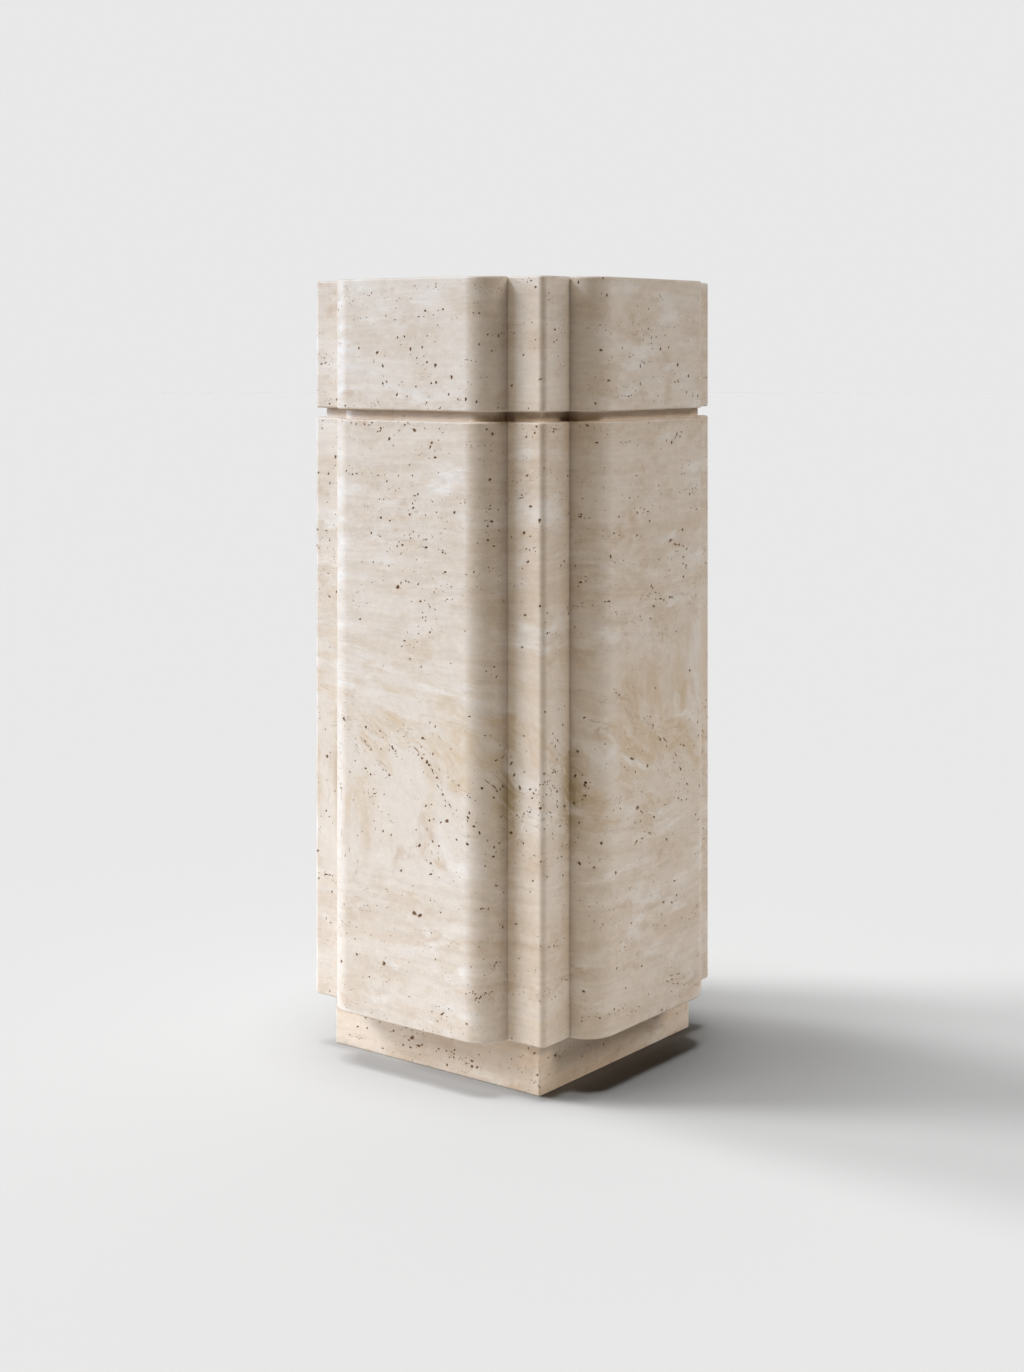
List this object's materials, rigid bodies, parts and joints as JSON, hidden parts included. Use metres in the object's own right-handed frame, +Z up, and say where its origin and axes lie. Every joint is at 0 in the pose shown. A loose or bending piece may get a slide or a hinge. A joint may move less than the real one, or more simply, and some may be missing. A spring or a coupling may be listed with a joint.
{
  "type": "travertine plinth",
  "caption": "Square travertine plinth: low base block, tall shaft with a proud round-edged slab on each side, and a cap of the same plan above a narrow shadow gap.",
  "frame": {"origin": "centre of the underside, on the surface that the plinth stands on", "axes": "+Z up through the centre of the top; X and Y square to the slabs on the four sides"},
  "size_m": [0.406, 0.406, 0.9],
  "materials": {
    "travertine": "honed, unfilled pits",
    "base_travertine": "honed, unfilled pits"
  },
  "bodies": {
    "root": {"base": "base_travertine", "shaft": "travertine", "cap": "travertine"}
  },
  "joints": []
}
